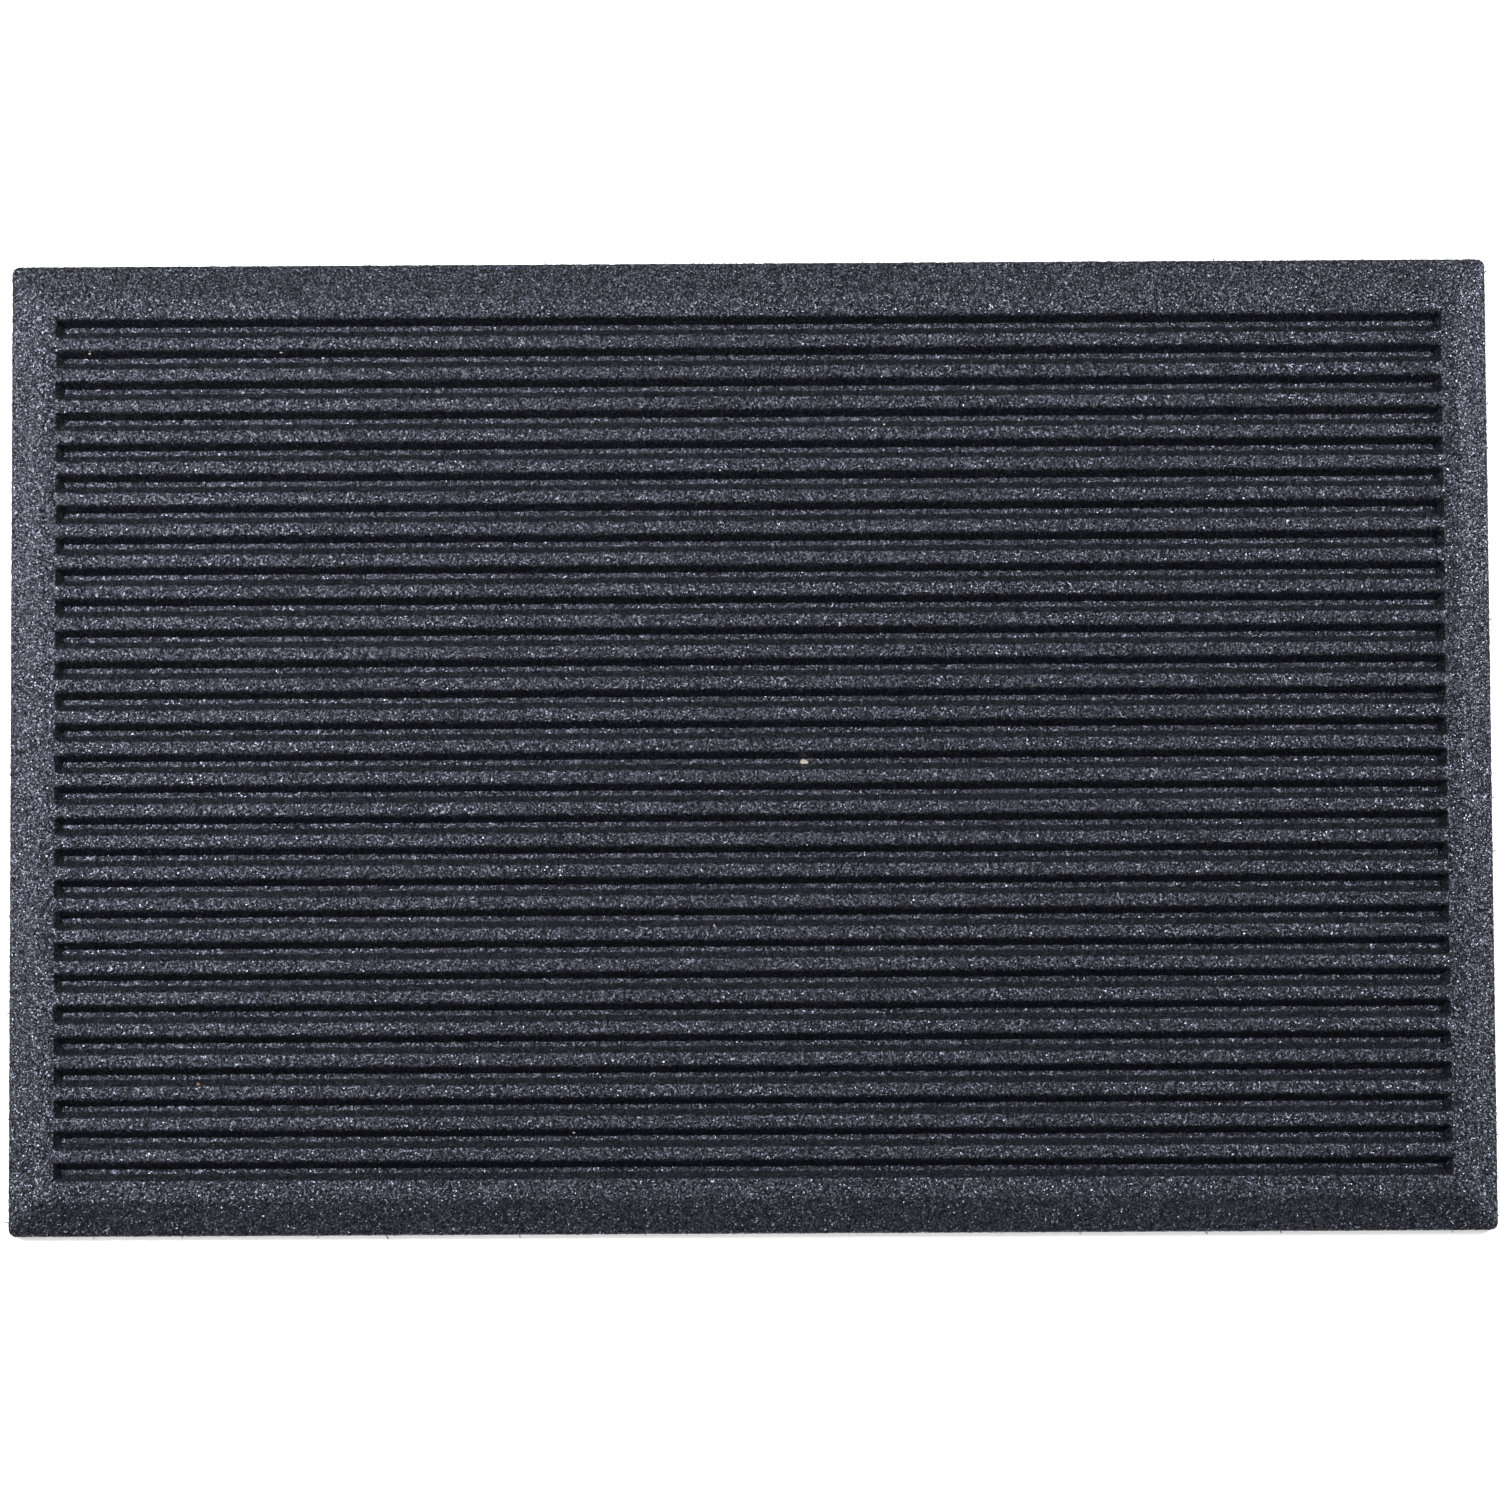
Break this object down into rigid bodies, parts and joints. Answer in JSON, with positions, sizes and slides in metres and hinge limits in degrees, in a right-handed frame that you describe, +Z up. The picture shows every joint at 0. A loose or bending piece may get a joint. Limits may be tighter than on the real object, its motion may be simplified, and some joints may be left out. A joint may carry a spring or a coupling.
{
  "type": "door mat",
  "caption": "Rectangular ribbed scraper door mat in bonded rubber crumb, with straight grooves along its long side and a bevelled border.",
  "frame": {"origin": "centre of the flat underside, on the floor", "axes": "+X along the ribs, the long side; +Y from the front edge to the rear edge; +Z up, out of the ribbed face"},
  "size_m": [0.6, 0.394, 0.009],
  "materials": {
    "crumb_rubber": "matt, granular charcoal, with fine glints on the crumbs"
  },
  "bodies": {
    "root": {"backing_sheet": "crumb_rubber", "border_front": "crumb_rubber", "border_rear": "crumb_rubber", "border_left": "crumb_rubber", "border_right": "crumb_rubber", "rib_01": "crumb_rubber", "rib_02": "crumb_rubber", "rib_03": "crumb_rubber", "rib_04": "crumb_rubber", "rib_05": "crumb_rubber", "rib_06": "crumb_rubber", "rib_07": "crumb_rubber", "rib_08": "crumb_rubber", "rib_09": "crumb_rubber", "rib_10": "crumb_rubber", "rib_11": "crumb_rubber", "rib_12": "crumb_rubber", "rib_13": "crumb_rubber", "rib_14": "crumb_rubber", "rib_15": "crumb_rubber", "rib_16": "crumb_rubber", "rib_17": "crumb_rubber", "rib_18": "crumb_rubber", "rib_19": "crumb_rubber", "rib_20": "crumb_rubber", "rib_21": "crumb_rubber", "rib_22": "crumb_rubber", "rib_23": "crumb_rubber", "rib_24": "crumb_rubber", "rib_25": "crumb_rubber", "rib_26": "crumb_rubber", "rib_27": "crumb_rubber"}
  },
  "joints": []
}
